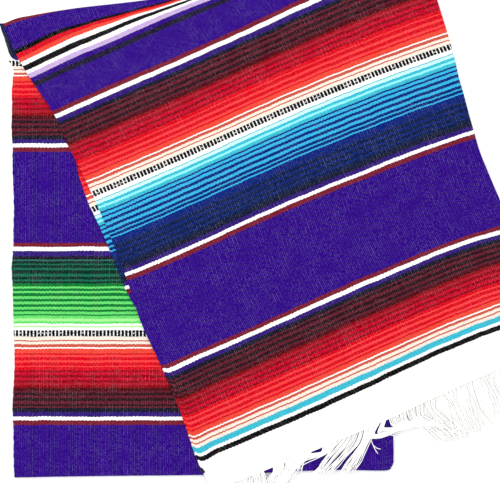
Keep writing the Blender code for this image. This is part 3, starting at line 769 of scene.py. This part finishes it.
def lowerGrid():
    inner = softShares(0.0008, 0.002, lowerLeaf["across"])
    share = np.concatenate([inner, np.ones(foldSteps)])
    pastRight = np.concatenate([np.zeros(len(inner)), pastFold])
    rows = np.linspace(lowerLeaf["head"] / leafLength, 1, lowerLeaf["along"])
    down = np.concatenate([rows, np.ones(foldSteps)])
    pastFoot = np.concatenate([np.zeros(len(rows)), pastFold])
    shareGrid, downGrid = np.meshgrid(share, down)
    plan = lowerPlan(shareGrid, downGrid)
    height = lowerHeight(plan[..., 0], plan[..., 1])
    side = np.broadcast_to(pastRight[None, :], shareGrid.shape)
    end = np.broadcast_to(pastFoot[:, None], shareGrid.shape)
    weave = lowerWeave(plan)
    plan = plan - np.array([1.0, 0.0]) * selvedgeWobble(plan[..., 1] + 0.7, shareGrid * 0.76)[..., None]
    grid, turned = turnUnder(plan, height, side, np.array([1.0, 0.0]), end, np.array([0.0, -1.0]))
    weave = weave + np.stack([turned * (side > 0), turned * (end > 0)], axis=-1)
    return grid, weave


grid, weave = lowerGrid()
lowerTop = addPly("LowerLeafTop", grid, weave, lowerWool, thinFirst=False)


def hiddenGrid():
    # the hidden plies as one slab: the leaf's underside on top, the floor below, lobes at the rim
    inset = lowerLeaf["hiddenInset"] / blanket["leafWidth"]
    share = np.linspace(inset, 1 - inset, 61)
    down = np.linspace(lowerLeaf["hiddenHead"] / leafLength, 1 - inset, 71)
    shareGrid, downGrid = np.meshgrid(share, down)
    plan = lowerPlan(shareGrid, downGrid)
    top = lowerHeight(plan[..., 0], plan[..., 1]) - half - blanket["seam"]
    rows, columns = top.shape
    ring = ([(0, c) for c in range(columns)] + [(r, columns - 1) for r in range(1, rows)]
            + [(rows - 1, c) for c in range(columns - 2, -1, -1)] + [(r, 0) for r in range(rows - 2, 0, -1)])
    ringR, ringC = np.array(ring).T
    out = unit(np.stack([(ringC == columns - 1).astype(float) - (ringC == 0),
                         (ringR == 0).astype(float) - (ringR == rows - 1)], axis=-1))
    # three lobes, one for each ply that shows at the rim
    shares = np.linspace(1, 0, 16)[1:-1]
    bulge = 0.0006 * np.abs(np.sin(shares * 3 * math.pi)) - 0.0003
    wallPlan = plan[ringR, ringC][None] + out[None] * bulge[:, None, None]
    wall = raised(wallPlan, top[ringR, ringC][None] * shares[:, None])
    upper = raised(plan, top).reshape(-1, 3)
    under = raised(plan, np.zeros_like(top)).reshape(-1, 3)
    points = np.concatenate([upper, wall.reshape(-1, 3), under])
    topRing = ringR * columns + ringC
    floorStart = len(upper) + wall.shape[0] * len(ring)
    wallIndex = np.arange(len(upper), floorStart).reshape(wall.shape[0], len(ring))
    belts = np.concatenate([topRing[None], wallIndex, topRing[None] + floorStart])
    belts = np.concatenate([belts, belts[:, :1]], axis=1)
    sides = np.stack([belts[:-1, :-1], belts[:-1, 1:], belts[1:, 1:], belts[1:, :-1]], axis=-1).reshape(-1, 4)
    flat = gridQuads(rows, columns)
    quads = np.concatenate([flat[:, ::-1], sides, flat + floorStart])
    return points, quads, lowerWeave(points[:, :2])


points, quads, weave = hiddenGrid()
hidden = addMesh("HiddenLayers", points, quads.tolist(), weave, lowerWool)
print("lower leaf laid")

fringe = dict(
    # one row a lock: where it starts and ends along the woven end, the two sides of its bundle as
    # (across, out), their headings in degrees from straight out, how much further it turns, and from
    # and to which share of the length
    locks=[
        (0.01, 0.048, 0.016, 0.02, 0.04, 0.024, -16, -2, 4, 0, 1),
        (0.05, 0.085, 0.048, 0.018, 0.076, 0.024, -24, -10, -5, 0, 1),
        (0.087, 0.111, 0.08, 0.014, 0.109, 0.014, -36, -32, 0, 0, 1),
        (0.131, 0.156, 0.124, 0.0095, 0.141, 0.02, -68, -38, 16, 0, 0.4),
        (0.158, 0.182, 0.15, 0.012, 0.164, 0.02, -58, -48, 8, 0, 1),
        (0.197, 0.217, 0.178, 0.009, 0.184, 0.0135, -75, -64, 10, 0, 1),
        (0.239, 0.273, 0.229, 0.008, 0.231, 0.015, -104, -97, 80, 0.62, 0.96),
        (0.277, 0.327, 0.252, 0.0075, 0.298, 0.0265, -57, -68, 0, 0, 1),
        (0.328, 0.357, 0.303, 0.027, 0.334, 0.022, -58, -50.5, 0, 0, 1),
        (0.357, 0.3635, 0.337, 0.0215, 0.343, 0.0165, 60, 52, 40, 0, 0.5),
        (0.367, 0.377, 0.352, 0.021, 0.366, 0.011, 66, 56, 26, 0, 0.5),
        (0.381, 0.42, 0.3835, 0.014, 0.419, 0.022, 52, 56, 12, 0, 0.5),
        (0.42, 0.459, 0.422, 0.021, 0.45, 0.024, 30, 40, -8, 0, 0.5),
        (0.46, 0.498, 0.461, 0.022, 0.488, 0.023, 9, 22, 6, 0, 0.5),
        (0.499, 0.536, 0.501, 0.023, 0.528, 0.021, -4, 9, -4, 0, 1),
        (0.537, 0.575, 0.541, 0.02, 0.568, 0.022, -11, 1, 5, 0, 1),
        (0.576, 0.615, 0.582, 0.022, 0.611, 0.024, -1, 12, -6, 0, 1),
        (0.616, 0.653, 0.62, 0.024, 0.648, 0.021, 2, 15, 4, 0, 1),
        (0.654, 0.691, 0.659, 0.021, 0.687, 0.023, -4, 9, 8, 0, 1),
        (0.692, 0.732, 0.698, 0.022, 0.727, 0.02, 0, 14, -4, 0, 1)],
    strands=15,  # warp ends in a lock
    length=0.112,
    rootIn=0.003,  # how far the ends start inside the cloth
    strandRadius=0.0009,
    wave=9,  # degrees
    layer=0.0016,  # strands of one lock lie up to this much above each other
    # single ends that stray from the locks, as (across, out)
    strays=[[(0.333, 0.024), (0.3325, 0.034), (0.333, 0.045), (0.335, 0.055)],
            [(0.3325, 0.035), (0.335, 0.040), (0.339, 0.045), (0.3436, 0.0485)],
            [(0.372, 0.030), (0.3765, 0.033), (0.3785, 0.038), (0.3745, 0.0435)]],
)


def turned(angle):
    # direction at an angle from straight out, as (across, out)
    return np.stack([np.sin(angle), np.cos(angle)], axis=-1)


def lockPaths(seed):
    # each end runs on a cubic from the cloth to its place in the bundle, then step by step along a lean
    # that wanders; all as (across, out)
    rng = np.random.default_rng(seed)
    locks = np.repeat(np.array(fringe["locks"]), fringe["strands"], axis=0)
    count = len(locks)
    place = np.tile((np.arange(fringe["strands"]) + 0.5) / fringe["strands"], len(fringe["locks"]))
    place = place + rng.uniform(-0.4, 0.4, count) / fringe["strands"]
    rootAcross = locks[:, 0] + (locks[:, 1] - locks[:, 0]) * place
    root = np.stack([rootAcross, np.full(count, -fringe["rootIn"])], axis=-1)
    bundle = locks[:, 2:4] + (locks[:, 4:6] - locks[:, 2:4]) * place[:, None]
    bundle = bundle + rng.normal(0, 0.0010, (count, 2))
    chord = np.linalg.norm(bundle - root, axis=-1)[:, None]
    leave = chord * (0.45 * np.array([0.0, 1.0]) + 0.55 * (bundle - root) / chord)
    heading = np.radians(locks[:, 6] + (locks[:, 7] - locks[:, 6]) * place + rng.normal(0, 3, count))
    bend = np.radians(locks[:, 8])
    arrive = chord * turned(heading)
    t = np.linspace(0, 1, 9)[None, :, None]
    near = ((1 + 2 * t) * (1 - t) ** 2 * root[:, None] + t * (1 - t) ** 2 * leave[:, None]
            + t * t * (3 - 2 * t) * bundle[:, None] + t * t * (t - 1) * arrive[:, None])
    left = fringe["length"] * rng.uniform(0.88, 1.0, count)[:, None] - chord
    steps = 15
    u = (np.arange(steps) + 0.5)[None, :] / steps
    phase = rng.uniform(0, 2 * math.pi, (count, 2))
    wander = np.sin(5 * u + phase[:, :1]) + 0.8 * np.sin(14 * u + phase[:, 1:])
    wander = np.radians(fringe["wave"]) * u * wander
    turnShare = np.clip((u - locks[:, 9:10]) / (locks[:, 10:11] - locks[:, 9:10]), 0, 1)
    angle = heading[:, None] + bend[:, None] * np.sin(turnShare * math.pi / 2) + wander
    far = bundle[:, None] + np.cumsum(turned(angle) * (left / steps)[..., None], axis=1)
    return np.concatenate([near, far], axis=1), np.abs(np.sin(heading)), rng


def layPaths(paths, plyDrop, lift):
    # from (across, out) to points that start in the ply and come to lie on what is below
    left, right = (edge[0] for edge in upperEdges(np.array([0.0])))
    width = np.linalg.norm(right - left)
    span = (right - left) / width
    out = np.array([span[1], -span[0]])
    share = np.clip(paths[..., 0] / width, 0, 1)
    hem, _, _ = upperPlan(share, np.zeros_like(share))
    plan = hem + out * paths[..., 1:] + span * (paths[..., :1] - share[..., None] * width)
    rest = restHeight(plan[..., 0], plan[..., 1])
    step = np.linalg.norm(np.diff(paths, axis=1), axis=-1)
    length = np.concatenate([np.zeros((len(paths), 1)), np.cumsum(step, axis=1)], axis=1)
    start = ease(length, 0.035)
    height = rest + (ply + half - plyDrop) * start + (fringe["strandRadius"] + lift[:, None]) * (1 - start)
    height = np.maximum(height, fringe["strandRadius"] + 0.0001)
    return raised(plan, height), length


def tubes(paths, length, radius, sides=5):
    # round tubes: a ring of points square to the path at every station, closed by a cap at each end
    count, stations, _ = paths.shape
    tangent = unit(np.gradient(paths, axis=1))
    across = unit(np.stack([tangent[..., 1], -tangent[..., 0], np.zeros((count, stations))], axis=-1))
    up = np.cross(across, tangent)
    angles = np.arange(sides) * 2 * math.pi / sides
    ring = (across[:, :, None] * np.cos(angles)[:, None]
            + up[:, :, None] * np.sin(angles)[:, None]) * radius[:, None, None]
    points = (paths[:, :, None] + ring).reshape(-1, 3)
    starts = np.arange(count)[:, None] * stations * sides
    quads = (gridQuads(stations, sides, closeColumns=True)[None] + starts[..., None]).reshape(-1, 4)
    first = starts + np.arange(sides)[::-1]
    last = starts + (stations - 1) * sides + np.arange(sides)
    weave = np.stack(np.broadcast_arrays(angles / (2 * math.pi), length[:, :, None]), axis=-1).reshape(-1, 2)
    return points, [*quads.tolist(), *first.tolist(), *last.tolist()], weave


def fringePiece(name, plyDrop, seed, strays=()):
    paths, lean, rng = lockPaths(seed)
    lift = 0.0022 * (plyDrop == 0) + 0.0012 * lean + rng.uniform(0, fringe["layer"], len(paths))
    if strays:
        # smooth curves through the strays' points
        at = np.linspace(0, 1, paths.shape[1])
        extra = []
        for points in strays:
            keyed = [(i / (len(points) - 1), *point) for i, point in enumerate(points)]
            extra.append(np.stack([readCurve(keyed, c, at) for c in (1, 2)], axis=-1))
        paths = np.concatenate([paths, np.array(extra)])
        lift = np.concatenate([lift, np.zeros(len(extra))])
    paths, length = layPaths(paths, plyDrop, lift)
    shares = np.linspace(0, 1, paths.shape[1])
    radius = fringe["strandRadius"] * np.interp(shares, [0, 0.08, 0.9, 1], [0.8, 1, 0.95, 0.5])
    points, faces, weave = tubes(paths, length, radius)
    return addMesh(name, points, faces, weave, cotton)


fringeTop = fringePiece("FringeTop", 0.0, 3, fringe["strays"])
fringeUnder = fringePiece("FringeUnder", ply, 8)
print("fringe combed")

yarnTail = dict(
    path=[(-0.0988, -0.4526), (-0.0966, -0.4552), (-0.0938, -0.4588), (-0.0910, -0.4622)],  # x, y
    radius=0.0029,
)


def blackYarn():
    material, tree, shader = newMaterial("Black yarn", 0.9, 0.5)
    fuzz = addNoise(tree, fuzzScale)
    tree.links.new(mix(tree, fuzz, linear(yarns["black"]), linear(yarns["coal"])), shader.inputs["Base Color"])
    addBump(tree, shader, fuzz, 0.6, 0.0004)
    return material


def yarnTailPiece():
    # the end of the black weft, left out at the selvedge
    plan = np.array(yarnTail["path"])
    steps = np.concatenate([[0], np.cumsum(np.linalg.norm(np.diff(plan, axis=0), axis=1))])
    at = np.linspace(0, steps[-1], 9)
    plan = np.stack([np.interp(at, steps, plan[:, c]) for c in (0, 1)], axis=-1)
    height = upperHeight(plan[:, 0], plan[:, 1], np.full(len(plan), 1.0)) + half + 0.8 * yarnTail["radius"]
    paths = raised(plan, height)[None]
    radius = yarnTail["radius"] * np.array([0.6, 0.9, 1, 1.05, 1, 1.1, 1.1, 0.9, 0.5])
    points, faces, weave = tubes(paths, at[None], radius, sides=8)
    return addMesh("YarnTail", points, faces, weave, blackYarn())


tail = yarnTailPiece()
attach(tail, "root")

for piece, node, slot in ((upperTop, "upper_leaf_top", "striped_wool"),
                          (upperUnder, "upper_leaf_under", "striped_wool"),
                          (lowerTop, "lower_leaf_top", "striped_wool"),
                          (hidden, "hidden_layers", "hidden_wool"),
                          (fringeTop, "fringe_top", "warp_fringe"),
                          (fringeUnder, "fringe_under", "warp_fringe")):
    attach(piece, "root")
    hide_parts(node)

studio = dict(floor=6.0, world=1.12, lamp=34.0, lampPlace=(-0.9, 1.1, 2.6), lampSize=2.4,
              cameraHeight=3.2, seenWidth=1.0, clothHeight=0.012)


def addFloor():
    reach = studio["floor"] / 2
    mesh = bpy.data.meshes.new("Floor")
    mesh.from_pydata([(-reach, -reach, 0), (reach, -reach, 0), (reach, reach, 0), (-reach, reach, 0)], [],
                     [(0, 1, 2, 3)])
    material, tree, shader = newMaterial("Pale floor", 0.9, 0.1)
    colour = mix(tree, addNoise(tree, 3.0), (0.955, 0.955, 0.957, 1), (0.965, 0.965, 0.965, 1))
    tree.links.new(colour, shader.inputs["Base Color"])
    mesh.materials.append(material)
    floor = bpy.data.objects.new("Floor", mesh)
    bpy.context.scene.collection.objects.link(floor)


def addLight():
    world = bpy.data.worlds.new("Studio")
    world.use_nodes = True
    sky = world.node_tree.nodes["Background"]
    sky.inputs["Color"].default_value = (1, 1, 1, 1)
    sky.inputs["Strength"].default_value = studio["world"]
    bpy.context.scene.world = world
    lamp = bpy.data.lights.new("Softbox", "AREA")
    lamp.energy = studio["lamp"]
    lamp.size = studio["lampSize"]
    softbox = bpy.data.objects.new("Softbox", lamp)
    softbox.location = studio["lampPlace"]
    softbox.rotation_euler = (math.radians(-22), math.radians(-18), 0)
    bpy.context.scene.collection.objects.link(softbox)


def addCamera():
    lens = bpy.data.cameras.new("Camera")
    lens.sensor_width = 36
    lens.lens = 36 * (studio["cameraHeight"] - studio["clothHeight"]) / studio["seenWidth"]
    camera = bpy.data.objects.new("Camera", lens)
    camera.location = (-blanket["middle"][0], -blanket["middle"][1], studio["cameraHeight"])
    bpy.context.scene.collection.objects.link(camera)
    bpy.context.scene.camera = camera


addFloor()
addLight()
addCamera()
bpy.context.scene.view_settings.view_transform = "Standard"
print("studio ready")

bpy.context.view_layer.update()
